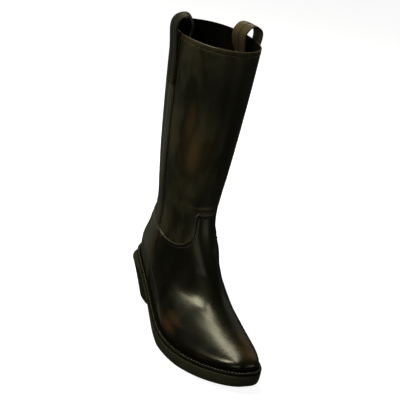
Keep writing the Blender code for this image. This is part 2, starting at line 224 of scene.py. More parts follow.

# %% [markdown]
# ## Creases and soft hollows
# Worn leather isn't smooth: it folds above the tongue, ripples at the ankle and waves a little down the
# shaft. Cloth simulation would place such folds by chance. Here each one is a soft trough or ridge that is
# placed one by one: a row of a table gives its middle, half length, half width, slant and height. Every
# piece of leather reads the same relief, so a fold that runs under a seam runs on at the other side.

# %% Relief of the leather
# section, angle in degrees, half length in degrees, half width in sections, slant, height in mm
CREASES = [
    [11.40, -4.0, 25.0, 0.040, 0.001, -0.7],
    [11.54, -6.0, 26.0, 0.060, 0.000, 0.8],
    [11.66, 10.0, 14.0, 0.030, -0.003, -0.5],
    [11.74, -4.0, 24.0, 0.040, 0.001, -0.4],
    [9.30, -34.0, 20.0, 0.260, -0.010, -1.1],
    [8.55, -40.0, 18.0, 0.240, -0.014, 1.0],
    [7.60, -36.0, 16.0, 0.300, -0.016, -1.2],
    [7.90, 14.0, 14.0, 0.300, 0.012, -0.6],
    [10.60, 150.0, 30.0, 0.170, 0.000, -0.8],
    [11.40, 196.0, 34.0, 0.200, 0.003, -0.9],
    [12.30, 168.0, 30.0, 0.220, -0.003, -0.7],
]
# angle in degrees, half width in degrees, lowest and highest section, height in mm
FLUTES = [
    [22.0, 13.0, 12.3, 15.7, -0.9],
    [44.0, 10.0, 12.6, 15.8, 0.6],
    [2.0, 12.0, 12.6, 15.6, 0.7],
    [-26.0, 14.0, 12.4, 15.7, -0.8],
    [-52.0, 12.0, 12.6, 15.8, 0.6],
    [150.0, 16.0, 12.4, 15.7, -0.9],
    [196.0, 14.0, 12.4, 15.7, 0.7],
    [9.0, 9.0, 8.0, 10.2, 0.35],
    [-6.0, 7.0, 7.2, 9.4, -0.45],
    [-18.0, 8.0, 6.8, 9.0, 0.5],
]
FLUTE_ENDS = 6.0


def turned(angle, middle):
    """Degrees from the middle angle, between -180 and 180."""
    return (np.degrees(angle) - middle + 180.0) % 360.0 - 180.0


def relief(u, angle):
    """Height of the folds over the plain surface, in mm."""
    total = np.zeros(np.broadcast(u, angle).shape)
    for section, middle, length, width, slant, height in CREASES:
        away = turned(angle, middle)
        across = u - section - slant * away
        total += height * hill(across, width) * np.exp(-(away / length) ** 4)
    for middle, width, low, high, height in FLUTES:
        ends = 1 / (1 + np.exp(-FLUTE_ENDS * (u - low))) / (1 + np.exp(-FLUTE_ENDS * (high - u)))
        total += height * hill(turned(angle, middle), width) * ends
    return total


def leather(u, angle, lift):
    """Points on the creased leather, lifted by a thickness in mm."""
    u = np.asarray(u, float)
    angle = np.asarray(angle, float)
    height = relief(u, angle) + lift
    return skin_point(u, angle) + skin_normal(u, angle) * height[..., None]


print("relief:", len(CREASES), "creases and", len(FLUTES), "long waves")

# %% [markdown]
# ## From points to pieces
# A piece is a grid of points. A closed grid runs round the boot, an open one ends at the piece's edges.
# One helper turns such a grid into faces, and one makes the object, shades it smooth, and lets it ride on
# the boot's only body. Two numbers travel with each point: how rubbed the leather is there, with painted
# shade as values below 0, and how worn it is beside a cut edge. The materials read them later.

# %% Rubbed places, painted shade and mesh helpers
# section, angle in degrees, half height in sections, half width in degrees,
# strength: brown where the dye is worn through above 0, black for painted shade below 0
RUBBED_AND_SHADED = [
    [13.65, 34.0, 0.62, 11.0, 1.00],
    [14.55, 44.0, 0.65, 9.0, 0.75],
    # The next place is a brown line on the fold's ridge above the tongue: rubbed leather, and partly a
    # painted highlight on that ridge
    [11.56, -6.0, 0.10, 24.0, 0.60],
    [13.90, -36.0, 0.80, 12.0, 0.55],
    [13.40, 176.0, 0.90, 20.0, 0.50],
    [1.90, 74.0, 0.70, 8.0, 1.00],
    [3.10, 71.0, 0.70, 8.0, 0.85],
    [4.40, -17.0, 1.10, 13.0, 1.00],
    [3.10, -10.0, 1.10, 14.0, 0.95],
    [3.60, 9.0, 0.80, 9.0, 0.55],
    [0.90, -4.0, 0.45, 12.0, 0.60],
    [0.80, 47.0, 0.45, 6.0, 0.50],
    [2.40, -40.0, 1.20, 14.0, 0.80],
    [4.40, 24.0, 1.00, 8.0, 0.35],
    [3.20, 178.0, 1.60, 18.0, 0.70],
    [14.10, 30.0, 1.10, 24.0, 0.35],
    # The black places below are painted shade: under the collar front, on the sides turned from the lights,
    # beside the vamp's highlight, near folds and the side strips, and along the feather line
    [15.15, 4.0, 0.70, 52.0, -0.95],
    [14.20, -22.0, 2.00, 14.0, -0.60],
    [12.30, -10.0, 0.55, 40.0, -0.60],
    [12.60, 66.0, 0.80, 12.0, -0.35],
    [11.95, 24.0, 0.30, 34.0, -0.55],
    [4.80, 66.0, 1.60, 18.0, -0.80],
    [2.20, 50.0, 1.00, 20.0, -0.90],
    [5.90, -22.0, 1.20, 20.0, -0.90],
    [0.50, 20.0, 0.50, 50.0, -0.60],
    [8.00, 60.0, 0.60, 30.0, -0.50],
]


def rubbed_and_shaded(u, angle):
    """Above 0, how far the dye is worn down to brown, up to 1; below 0, how dark the painted shade is, down
    to -1.
    """
    brown = np.zeros(np.broadcast(u, angle).shape)
    black = np.zeros(brown.shape)
    for section, middle, height, width, strength in RUBBED_AND_SHADED:
        up = (u - section) / height
        round_it = turned(angle, middle) / width
        spot = strength * np.exp(-up ** 2 - round_it ** 2)
        brown = np.maximum(brown, spot)
        black = np.minimum(black, spot)
    return brown + black


def grid_faces(rows, columns, closed):
    faces = []
    last = columns if closed else columns - 1
    for i in range(rows - 1):
        here = i * columns
        above = here + columns
        for k in range(last):
            next_k = (k + 1) % columns
            faces.append((here + k, above + k, above + next_k, here + next_k))
    return faces


def add_object(name, data):
    item = bpy.data.objects.new(name, data)
    bpy.context.scene.collection.objects.link(item)
    return item


def make_piece(name, points, faces, materials, rub_and_shade=None, wear=None):
    """One mesh object from points in mm, riding on the boot."""
    mesh = bpy.data.meshes.new(name)
    mesh.from_pydata((np.asarray(points) * MM).tolist(), [], faces)
    mesh.polygons.foreach_set("use_smooth", [True] * len(faces))
    # The first attribute holds rubbing towards brown above 0 and painted shade below 0; the second, wear
    # beside cut edges
    for values, label in ((rub_and_shade, "rub_and_shade"), (wear, "wear")):
        layer = mesh.attributes.new(label, "FLOAT", "POINT")
        layer.data.foreach_set("value", np.zeros(len(points)) if values is None else np.ravel(values))
    for material in materials:
        mesh.materials.append(material)
    piece = add_object(name, mesh)
    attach(piece, "root")
    return piece


print("rubbed places:", len(RUBBED_AND_SHADED))

# %% [markdown]
# ## Leather, sole and thread
# Burnished leather is dyed nearly black over brown, then rubbed and polished. So a cloudy noise moves its
# colour between two dark dyes, rubbed places let the brown through, and places of painted shade go black.
# The grain is a shallow bump of small cells, and the polish is a thin coat over it. One function makes all
# the leathers, and each piece gets its own numbers: the vamp is polished, the shaft is duller, the loops are
# rubbed. A second function makes rubber and thread.

# %% Material helpers


def new_material(name):
    material = bpy.data.materials.new(name)
    material.use_nodes = True
    return material, material.node_tree


def feed(tree, node, values):
    """Link a node's inputs to other nodes' outputs, or set them to constants."""
    for label, value in values.items():
        socket = node.inputs[label]
        if isinstance(value, bpy.types.NodeSocket):
            tree.links.new(value, socket)
        elif socket.type == "RGBA":
            socket.default_value = (*value, 1.0)
        else:
            socket.default_value = value


def add_node(tree, kind, values):
    node = tree.nodes.new("ShaderNode" + kind)
    feed(tree, node, values)
    return node


def add_noise(tree, where, scale, detail, rough):
    values = {"Vector": where, "Scale": scale, "Detail": detail, "Roughness": rough}
    return add_node(tree, "TexNoise", values).outputs["Fac"]


def add_ramp(tree, value, stops):
    """Colours between two stops."""
    ramp = add_node(tree, "ValToRGB", {"Fac": value})
    for element, (position, colour) in zip(ramp.color_ramp.elements, stops):
        element.position = position
        element.color = (*colour, 1.0)
    return ramp.outputs["Color"]


def add_mix(tree, factor, first, second, blend="MIX"):
    mix = add_node(tree, "Mix", {})
    mix.data_type = "RGBA"
    mix.blend_type = blend
    feed(tree, mix, {"Factor": factor, "A": first, "B": second})
    return mix.outputs["Result"]


def add_math(tree, kind, *values):
    node = add_node(tree, "Math", {})
    node.operation = kind
    node.use_clamp = True
    feed(tree, node, dict(enumerate(values)))
    return node.outputs[0]


def add_bump(tree, height, strength, distance, under=None):
    bump = add_node(tree, "Bump", {"Height": height, "Strength": strength, "Distance": distance})
    if under is not None:
        feed(tree, bump, {"Normal": under})
    return bump.outputs["Normal"]


def add_attribute(tree, label):
    node = add_node(tree, "Attribute", {})
    node.attribute_name = label
    return node.outputs["Fac"]


def grey(value):
    return (value, value, value)


SHINE_TINT = (1.0, 0.97, 0.70)
# Colour towards which painted shade mixes the dye
SHADE_BLACK = (0.0022, 0.0021, 0.0010)
EDGE_TONE = (0.070, 0.060, 0.036)
CLOUD_SCALE = 42.0
STREAK_SCALE = 210.0
PORE_SCALE = 900.0
# Depths of the bumps in metres
STREAK_DEPTH = 0.00035
PORE_DEPTH = 0.00012
COAT_ROUGHNESS = 0.16
# Heights in metres between which a leather grows duller
DULL_FROM = 0.066
DULL_TO = 0.105


def burnished(name, dark, light, brown, rough, coat, grain, shine=0.4, dull=0.0):
    """Leather dyed dark over brown. dark and light are the cloudy dye, brown shows where rubbing wears it
    through, and painted shade mixes it towards black. dull is added to the roughness above the ball of the
    foot."""
    material, tree = new_material(name)
    where = add_node(tree, "TexCoord", {}).outputs["Object"]
    stretched = add_node(tree, "Mapping", {"Vector": where, "Scale": (1.0, 1.0, 0.4)})
    clouds = add_noise(tree, stretched.outputs["Vector"], CLOUD_SCALE, 5.0, 0.6)
    fine = add_noise(tree, where, STREAK_SCALE, 3.0, 0.6)
    rub_and_shade = add_attribute(tree, "rub_and_shade")
    wear = add_attribute(tree, "wear")
    dye = add_ramp(tree, clouds, [(0.43, dark), (0.60, light)])
    streak = add_math(tree, "MULTIPLY_ADD", fine, 0.55, 0.65)
    # Below 0 the attribute is painted shade, which mixes the dye towards black
    painted_shade = add_math(tree, "MULTIPLY", rub_and_shade, -1.0)
    darkened = add_mix(tree, painted_shade, dye, SHADE_BLACK)
    rubbed_off = add_math(tree, "MULTIPLY", rub_and_shade, streak)
    worn_edge = add_math(tree, "MULTIPLY", wear, streak)
    browned = add_mix(tree, rubbed_off, darkened, brown)
    colour = add_mix(tree, worn_edge, browned, EDGE_TONE)
    spread = add_ramp(tree, clouds, [(0.25, grey(rough - 0.03)), (0.75, grey(rough + 0.04))])
    height = add_node(tree, "SeparateXYZ", {"Vector": where}).outputs["Z"]
    duller = add_node(tree, "MapRange", {
        "Value": height, "From Min": DULL_FROM, "From Max": DULL_TO, "To Min": 0.0, "To Max": dull,
    })
    roughness = add_math(tree, "ADD", spread, duller.outputs["Result"])
    cells = add_node(tree, "TexVoronoi", {"Vector": where, "Scale": PORE_SCALE})
    cells.feature = "DISTANCE_TO_EDGE"
    pores = add_ramp(tree, cells.outputs["Distance"], [(0.0, grey(0.0)), (0.22, grey(1.0))])
    coarse = add_bump(tree, fine, grain * 0.45, STREAK_DEPTH)
    normal = add_bump(tree, pores, grain * 0.5, PORE_DEPTH, coarse)
    feed(tree, tree.nodes["Principled BSDF"], {
        "Base Color": colour, "Roughness": roughness, "Normal": normal, "Coat Weight": coat,
        "Coat Roughness": COAT_ROUGHNESS, "Specular IOR Level": shine, "Specular Tint": SHINE_TINT,
    })
    return material


BROWN = (0.062, 0.031, 0.0065)
SHAFT_BROWN = (0.1000, 0.0600, 0.0180)
LOOP_BROWN = (0.150, 0.106, 0.050)
SHAFT_DYE = ((0.0115, 0.0110, 0.0048), (0.0460, 0.0425, 0.0200))
VAMP_DYE = ((0.0030, 0.0029, 0.0011), (0.0078, 0.0073, 0.0031))
STRIP_DYE = ((0.0235, 0.0230, 0.0122), (0.0385, 0.0372, 0.0205))
LOOP_DYE = ((0.0105, 0.0100, 0.0048), (0.0165, 0.0152, 0.0078))
WELT_DYE = ((0.0018, 0.0017, 0.0009), (0.0036, 0.0033, 0.0018))
# The lining's near-black colour is painted shade for the dark inside of the shaft
LINING_PAINTED_SHADE = ((0.0009, 0.0009, 0.0006), (0.0042, 0.0038, 0.0026))
INSOLE_DYE = ((0.0040, 0.0036, 0.0028), (0.0070, 0.0060, 0.0046))
# After the colours: roughness, weight of the coat, depth of the grain
shaft_leather = burnished("shaft_leather", *SHAFT_DYE, SHAFT_BROWN, 0.48, 0.03, 0.20)
vamp_leather = burnished("vamp_leather", *VAMP_DYE, BROWN, 0.26, 0.14, 0.08, dull=0.12)
counter_leather = burnished("counter_leather", *STRIP_DYE, BROWN, 0.44, 0.05, 0.18, shine=0.32)
strip_leather = burnished("strip_leather", *STRIP_DYE, BROWN, 0.45, 0.06, 0.20)
loop_leather = burnished("loop_leather", *LOOP_DYE, LOOP_BROWN, 0.48, 0.0, 0.22, shine=0.16)
welt_leather = burnished("welt_leather", *WELT_DYE, BROWN, 0.65, 0.0, 0.30, shine=0.05)
lining_painted_shade = burnished("lining_painted_shade", *LINING_PAINTED_SHADE, BROWN, 0.75, 0.0, 0.35, shine=0.04)
insole_leather = burnished("insole_leather", *INSOLE_DYE, BROWN, 0.70, 0.0, 0.30, shine=0.2)
print("leathers:", len(bpy.data.materials))

# %% Sole and thread materials
RUBBER_CLOUD_SCALE = 30.0
SPECK_SCALE = 620.0
SPECK_DEPTH = 0.0002


def moulded(name, dark, light, rough, speck):
    """Dense rubber or thread: even, slightly speckled, with fine scuffs."""
    material, tree = new_material(name)
    where = add_node(tree, "TexCoord", {}).outputs["Object"]
    clouds = add_noise(tree, where, RUBBER_CLOUD_SCALE, 5.0, 0.6)
    dots = add_noise(tree, where, SPECK_SCALE, 2.0, 0.7)
    base = add_ramp(tree, clouds, [(0.28, dark), (0.75, light)])
    specks = add_ramp(tree, dots, [(0.50, grey(0.0)), (0.74, grey(speck))])
    colour = add_mix(tree, 1.0, base, specks, "ADD")
    spread = add_ramp(tree, clouds, [(0.2, grey(rough - 0.05)), (0.8, grey(rough + 0.08))])
    normal = add_bump(tree, dots, 0.25, SPECK_DEPTH)
    feed(tree, tree.nodes["Principled BSDF"], {
        "Base Color": colour, "Roughness": spread, "Normal": normal,
        "Specular IOR Level": 0.4, "Specular Tint": SHINE_TINT,
    })
    return material


# After the two colours: roughness, strength of the specks
sole_rubber = moulded("sole_rubber", (0.0270, 0.0262, 0.0138), (0.0420, 0.0404, 0.0222), 0.55, 0.004)
heel_rubber = moulded("heel_rubber", (0.0095, 0.0080, 0.0026), (0.0150, 0.0130, 0.0048), 0.66, 0.003)
dark_thread = moulded("dark_thread", (0.0700, 0.0620, 0.0400), (0.1050, 0.0930, 0.0600), 0.55, 0.006)
brown_thread = moulded("brown_thread", (0.0850, 0.0480, 0.0170), (0.1350, 0.0760, 0.0280), 0.55, 0.006)
welt_thread = moulded("welt_thread", (0.1100, 0.1000, 0.0700), (0.1650, 0.1500, 0.1080), 0.58, 0.006)
print("materials in all:", len(bpy.data.materials))

# %% [markdown]
# ## The shaft and foot of the upper
# The upper is one hollow skin of leather, open at the collar and under the foot. Its outside takes the
# creases, and its inside is the lining, one wall thickness further in, whose near-black colour is painted
# shade. At the collar the two meet in a rounded, rubbed edge. A narrow groove, blackened with painted
# shade, and a low ridge beside it run in front of each side strip.

# %% Shaft
STRIP_WIDTH = 22.0
STRIP_FRONT = np.array([[8.5, 87.0], [11.0, 89.0], [13.0, 94.5], [14.5, 97.5], [16.0, 98.5]])
# The groove and the ridge: how far in front of the strip, half width, height
GROOVE = (0.9, 1.1, -0.9)
RIDGE = (3.8, 1.3, 0.45)
GROOVE_START = 8.6
GROOVE_FADE = 8.0
# How far the groove in front of each strip is painted black, as shade
GROOVE_SHADE = 0.95
SIDE_FROM = 15.0
# The row of stitches below the collar: distance, half width and depth of its dent
COLLAR_ROW = 5.5
COLLAR_DENT = (0.6, 0.45)
COLLAR_RUB = 0.4
COLLAR_RUB_WIDTH = 4.0
COLLAR_RISE = SECTIONS[COLLAR, 1] - SECTIONS[COLLAR - 1, 1]
# The collar's rounded edge: rise over the last section and lift over the skin
RIM_RISE = np.array([0.55, 0.8, 0.55])
RIM_LIFT = np.array([-0.45, -1.0, -1.55])
AROUND = 200


def strip_front(u):
    return smooth_curve(STRIP_FRONT[:, 0], STRIP_FRONT[:, 1], u)


def groove(u, points):
    """Depth of the groove in front of each side strip, and how near a point is to it."""
    ahead = FOOT_LENGTH / 2 - points[..., 1] - strip_front(u)
    there = 1 / (1 + np.exp(-GROOVE_FADE * (u - GROOVE_START)))
    beside = np.abs(points[..., 0]) > SIDE_FROM
    trough = there * beside * hill(ahead - GROOVE[0], GROOVE[1])
    ridge = there * beside * hill(ahead - RIDGE[0], RIDGE[1])
    return RIDGE[2] * ridge + GROOVE[2] * trough, trough


def make_shaft():
    turn = crowded_turn(AROUND)
    near_collar = COLLAR - np.array([7.5, 6.6, 6.1, 5.5, 4.9, 4.4, 3.2, 1.6, 0.6, 0.0]) / COLLAR_RISE
    heights = np.concatenate([np.linspace(0, 8, 44), np.linspace(8.1, 15.84, 110), near_collar])
    u, angle = np.meshgrid(heights, turn, indexing="ij")
    plain = skin_point(u, angle)
    dent, trough = groove(u, plain)
    below = (COLLAR - u) * COLLAR_RISE
    dent = dent - COLLAR_DENT[1] * hill(below - COLLAR_ROW, COLLAR_DENT[0])
    outside = leather(u, angle, dent)
    # The band under the collar is worn brown by rubbing; the black in the groove in front of each strip is
    # painted shade
    collar_rub_and_groove_shade = COLLAR_RUB * hill(below, COLLAR_RUB_WIDTH) - GROOVE_SHADE * trough
    rim_size = (len(RIM_RISE), AROUND)
    rim_lift = np.broadcast_to(RIM_LIFT[:, None], rim_size)
    rim = leather(np.full(rim_size, float(COLLAR)), np.broadcast_to(turn, rim_size), rim_lift)
    rim[..., 2] += RIM_RISE[:, None]
    inner = heights[::-2]
    inner_u, inner_angle = np.meshgrid(inner, turn, indexing="ij")
    inside = leather(inner_u, inner_angle, np.full(inner_u.shape, -WALL))
    points = np.concatenate([outside, rim, inside])
    rows = len(points)
    rim_rub = np.full(rim_size, COLLAR_RUB)
    rub_and_shade = np.concatenate([rubbed_and_shaded(u, angle) + collar_rub_and_groove_shade, rim_rub, np.zeros(inner_u.shape)])
    faces = grid_faces(rows, AROUND, True)
    piece = make_piece("shaft", points.reshape(-1, 3), faces, [shaft_leather, lining_painted_shade], rub_and_shade)
    lining_from = (len(heights) + 2) * AROUND
    slots = [1 if k >= lining_from else 0 for k in range(len(faces))]
    piece.data.polygons.foreach_set("material_index", slots)
    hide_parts("upper")
    return piece


shaft = make_shaft()
# The vamp does not mirror the shaft, so that the highlight over it runs on to the toe
shaft.visible_glossy = False
print("shaft:", len(shaft.data.polygons), "faces")

# %% [markdown]
# ## Pieces of leather laid on the upper
# The vamp, the counter and the side strips are separate hides sewn on the upper. Each lies on the same
# surface, one thickness up, and rolls down to it along its cut edge. A grid with a few close lines beside
# each edge gives that roll without a bevel, and leaves the edge free to take a lighter, worn colour.

# %% Laid-on leather
OVERLAY_TOP = 1.5
OVERLAY_EDGE = 0.08
ROLL_WIDTH = 1.1
EDGE_WEAR = 0.55
EDGE_WEAR_WIDTH = 0.8
EDGE_STEPS = np.array([0.0, 0.3, 0.7, 1.3, 2.2])
# The inner row of stitches: distance from the edge, half width and depth of its dent
SEWN_IN = 5.8
SEWN_DENT = (0.6, 0.6)
# Lines of the grids further in: across that dent, and beside the seam
DENT_STEPS = np.array([3.2, 4.4, 5.2, SEWN_IN, 6.4, 7.2, 8.2])
SEAM_STEPS = np.array([3.0, 4.5, 7.5, 12.0])
# Distance given to places well inside a piece
WELL_INSIDE = 9.0


def rolled(distance):
    """Thickness in mm at a distance in mm from a cut edge, pulled in a little by the inner stitches."""
    near = np.clip(1 - distance / ROLL_WIDTH, 0, 1)
    sewn = SEWN_DENT[1] * hill(distance - SEWN_IN, SEWN_DENT[0])
    return OVERLAY_EDGE + (OVERLAY_TOP - OVERLAY_EDGE) * np.sqrt(1 - near ** 2) - sewn


def make_overlay(name, node, slot, u, angle, distance, material):
    """An open sheet over a grid of (u, angle). distance is each point's distance to the nearest cut edge."""
    points = leather(u, angle, rolled(distance))
    rows, columns = u.shape
    wear = EDGE_WEAR * hill(distance, EDGE_WEAR_WIDTH)
    faces = grid_faces(rows, columns, False)
    piece = make_piece(name, points.reshape(-1, 3), faces, [material], rubbed_and_shaded(u, angle), wear)
    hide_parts(node)
    return piece


# Top edge of the vamp: angle from the toe in degrees on the outer and on the inner side, section number
VAMP_TOP = np.array([
    [0.0, 0.0, 11.28], [12.0, 26.0, 11.28], [17.0, 31.5, 11.1], [19.0, 34.0, 10.7], [21.0, 36.5, 10.35],
    [25.0, 41.0, 9.92], [31.0, 47.0, 9.52], [40.0, 55.0, 9.22], [50.0, 63.0, 8.96], [62.0, 72.0, 8.72],
    [72.0, 80.0, 8.56], [84.0, 88.0, 8.42], [97.0, 97.0, 8.28],
])
VAMP_END = 92.0
# Ranges of degrees over the tongue's flanks, where the edge is steep
FLANK_OUTER = (5.4, 34.0)
FLANK_INNER = (19.0, 50.0)
# Below this section the vamp's rows run level
LEVEL_BELOW = 7.8
# Beyond this angle the vamp's columns begin to lean towards the seam
LEAN_FROM = 40.0
# Degrees over which the corners of the top edge are softened
CORNER_SPREAD = np.linspace(-1.6, 1.6, 9)
SEAM_A = 88.0
SEAM_GAP = 0.15
COUNTER_TOP = 8.2


def vamp_top(degrees):
    """The vamp's top edge: the table's corners, softened over a few degrees."""
    total = np.zeros(np.shape(degrees))
    for step in CORNER_SPREAD:
        at = np.abs(degrees) + step * np.minimum(1, np.abs(degrees) / 2)
        outer = np.interp(at, VAMP_TOP[:, 0], VAMP_TOP[:, 2])
        inner = np.interp(at, VAMP_TOP[:, 1], VAMP_TOP[:, 2])
        total += np.where(np.asarray(degrees) < 0, inner, outer)
    return total / len(CORNER_SPREAD)


EDGE_DEGREES = np.linspace(-97, 97, 521)
EDGE_DEPTHS = np.linspace(0, 4, 160)


def edge_distances():
    """Distance in mm to the vamp's top edge, a row for each of EDGE_DEPTHS sections below it."""
    top = vamp_top(EDGE_DEGREES)
    edge = skin_point(top, np.radians(EDGE_DEGREES))
    rows = []
    for depth in EDGE_DEPTHS:
        points = skin_point(top - depth, np.radians(EDGE_DEGREES))
        rows.append(np.linalg.norm(points[:, None] - edge[None], axis=-1).min(axis=1))
    rows[0] = np.zeros(len(EDGE_DEGREES))
    return np.array(rows)


FROM_EDGE = edge_distances()


def vamp_inset(degrees, distance):
    """Section number where a distance in mm inside the vamp's top edge is first reached."""
    first = np.maximum((FROM_EDGE >= distance).argmax(axis=0), 1)
    column = np.arange(len(EDGE_DEGREES))
    before = FROM_EDGE[first - 1, column]
    share = (distance - before) / (FROM_EDGE[first, column] - before)
    depth = EDGE_DEPTHS[first - 1] + np.clip(share, 0, 1) * EDGE_DEPTHS[1]
    return np.interp(degrees, EDGE_DEGREES, vamp_top(EDGE_DEGREES) - depth)


def seam_angle(u, inset):
    """Angle of the seam between vamp and counter, moved forward by inset."""
    return angle_at(u, SEAM_A + inset, 1)


def vamp_side(side, flank):
    """Sections, angles and edge distances on one side, 1 outer or -1 inner."""
    # About one column a degree, and more on the flank
    low = np.linspace(0.05, LEVEL_BELOW, 70)
    before = np.linspace(0, flank[0] - 0.4, round(flank[0]))
    beyond = np.linspace(flank[1] + 1.2, VAMP_END, round(85 - flank[1]))
    named = np.concatenate([before, np.linspace(*flank, 76), beyond])
    top_insets = np.concatenate([EDGE_STEPS, DENT_STEPS])[::-1]
    edge_rows = [vamp_inset(side * named, inset) for inset in top_insets]
    shares = np.linspace(0, 1, 34)[1:-1]
    between = [LEVEL_BELOW + share * (edge_rows[0] - LEVEL_BELOW) for share in shares]
    u_named = np.concatenate([np.broadcast_to(low[:, None], (len(low), len(named))), between, edge_rows])
    gap_rows = np.concatenate([np.full(len(low) + len(between), WELL_INSIDE), top_insets])
    end_u = u_named[:, -1]
    seam_insets = np.concatenate([EDGE_STEPS, SEAM_STEPS])[::-1]
    far = np.stack([seam_angle(end_u, inset + SEAM_GAP) for inset in seam_insets], axis=1)
    last = np.minimum(np.radians(named[-1]), far[:, 0] - 0.03)
    scale = (last / np.radians(named[-1]))[:, None]
    lean = climb(named, LEAN_FROM, VAMP_END - LEAN_FROM)
    straight = np.radians(named)[None, :] * (1 + (scale - 1) * lean)
    angle = np.concatenate([straight, far], axis=1)
    u = np.concatenate([u_named, np.broadcast_to(end_u[:, None], far.shape)], axis=1)
    side_gap = np.concatenate([np.full(len(named), WELL_INSIDE), seam_insets])
    gap = np.minimum(gap_rows[:, None], side_gap[None, :])
    return u, angle, gap


def make_vamp():
    outer = vamp_side(1, FLANK_OUTER)
    inner = vamp_side(-1, FLANK_INNER)
    # Of sections, angles and distances, only the angles change sign on the inner side
    pairs = zip((1, -1, 1), inner, outer)
    both = [np.concatenate([sign * left[:, :0:-1], right], axis=1) for sign, left, right in pairs]
    return make_overlay("vamp_hide", "vamp", "vamp", *both, vamp_leather)


vamp = make_vamp()
print("vamp:", len(vamp.data.polygons), "faces")

# %% Counter and side strips


def make_counter():
    low = np.linspace(0.05, COUNTER_TOP - 0.35, 60)
    section_rise = 10.0
    heights = np.concatenate([low, COUNTER_TOP - EDGE_STEPS[::-1] / section_rise])
    gap_rows = np.concatenate([np.full(len(low), WELL_INSIDE), EDGE_STEPS[::-1]])
    insets = np.concatenate([EDGE_STEPS, SEAM_STEPS])
    side = np.stack([seam_angle(heights, -inset - SEAM_GAP) for inset in insets], axis=1)
    share = np.linspace(0, 1, 46)[1:]
    back = side[:, -1:] + share * (math.pi - side[:, -1:])
    half = np.concatenate([side, back], axis=1)
    gap_half = np.concatenate([insets, np.full(len(share), WELL_INSIDE)])
    angle = np.concatenate([half, 2 * math.pi - half[:, -2::-1]], axis=1)
    gap_columns = np.concatenate([gap_half, gap_half[-2::-1]])
    u = np.broadcast_to(heights[:, None], angle.shape)
    gap = np.minimum(gap_rows[:, None], gap_columns[None, :])
    return make_overlay("counter_hide", "counter", "counter", u, angle, gap, counter_leather)


def make_strip(name, node, side):
    heights = np.concatenate([[8.52, 8.55, 8.6], np.linspace(8.7, 15.8, 120), [15.88, 15.92, 15.95]])
    gap_rows = np.concatenate([[0.0, 0.6, 1.6], np.full(120, WELL_INSIDE), [2.2, 1.0, 0.0]])
    middle = np.linspace(3.2, STRIP_WIDTH - 3.2, 15)
    across = np.concatenate([EDGE_STEPS, middle, STRIP_WIDTH - EDGE_STEPS[::-1]])
    gap_columns = np.minimum(across, STRIP_WIDTH - across)
    u = np.broadcast_to(heights[:, None], (len(heights), len(across)))
    a = strip_front(heights)[:, None] - across[None, :]
    angle = angle_at(u, a, side)
    gap = np.minimum(gap_rows[:, None], gap_columns[None, :])
    outward = slice(None, None, side)
    return make_overlay(name, node, "side_strip", u, angle[:, outward], gap[:, outward], strip_leather)


counter = make_counter()
strip_lateral = make_strip("strip_lateral", "side_strip_lateral", 1)
make_strip("strip_medial", "side_strip_medial", -1)
print("counter:", len(counter.data.polygons), "faces; each strip:", len(strip_lateral.data.polygons))

# %% [markdown]
# ## Pull loops
# Each loop is a strap that is sewn flat on the shaft outside, stands up over the collar in a bow, and goes
# down again inside. Its section is a flat bar with soft corners and a fine groove down the middle of both
# faces, swept along a short list of places.

# %% Pull loops
STRAP_WIDTH = 25.0
STRAP_THICK = 2.4
STRAP_CORNER = 1.2
# The groove: depth as a share of half the thickness, and half width
STRAP_GROOVE = (0.6, 0.8)
# How far the outer face falls to its sides, and half the thickness there, as shares of half the thickness
STRAP_FALL = 0.25
STRAP_SIDE = 1.0 - STRAP_FALL
# How rubbed the sides and the inner face are, beside the outer face
SIDE_RUB = 0.25
INNER_RUB = 0.6
# Shares of the strap's length: where the rubbed bow begins and where its rub fades, each with its run
BOW_FROM = (0.40, 0.12)
FADE_FROM = (0.56, 0.20)
FADE_BY = 0.45
STRAP_MIDDLE = 88.0
# How far each bow reaches in over the collar, how much its height is stretched, and how rubbed it is
BOW_LATERAL = (18.0, 1.15, 0.15)
BOW_MEDIAL = (20.0, 1.0, 0.75)
# out from the shaft, share of the bow's reach (below 0 inward), height over the collar, twist of the width
STRAP_PATH = np.array([
    [3.0, 0.0, -62.0, 0.0], [3.0, 0.0, -44.0, 0.0], [3.2, 0.0, -26.0, 0.0], [4.4, 0.0, -11.0, 0.0],
    [5.6, 0.0, 1.0, 0.0], [5.0, 0.0, 9.0, 0.05], [1.5, -0.05, 15.0, 0.15], [1.0, -0.5, 17.5, 0.28],
    [1.5, -0.85, 14.5, 0.35], [0.0, -1.0, 7.0, 0.37], [0.0, -1.0, -3.0, 0.37], [-1.0, -0.75, -14.0, 0.28],
    [-2.0, -0.45, -23.0, 0.15], [-3.3, -0.05, -32.0, 0.0],
])


def strap_section():
    """Across in mm from the strap's middle, outward share of half the thickness, and rubbing, once round."""
    half = STRAP_WIDTH / 2
    flat = half - STRAP_CORNER
    corner = np.radians(np.linspace(90, 0, 5))
    face = np.linspace(-flat, flat, 17)
    folds = STRAP_GROOVE[0] * hill(face, STRAP_GROOVE[1])
    crown = 1.0 - STRAP_FALL * (np.abs(face) / half) ** 4
    outer = list(zip(face, crown - folds, 1.0 - 1.6 * folds))
    bend = [(flat + STRAP_CORNER * math.cos(t), STRAP_SIDE * math.sin(t)) for t in corner]
    right = [(x, y, SIDE_RUB) for x, y in bend[1:]] + [(x, -y, SIDE_RUB) for x, y in bend[3::-1]]
    inner = [(x, -1.0 + fold, INNER_RUB) for x, fold in zip(face[::-1], folds)]
    left = [(-x, -y, rub_and_shade) for x, y, rub_and_shade in right]
    return np.array(outer + right + inner + left)


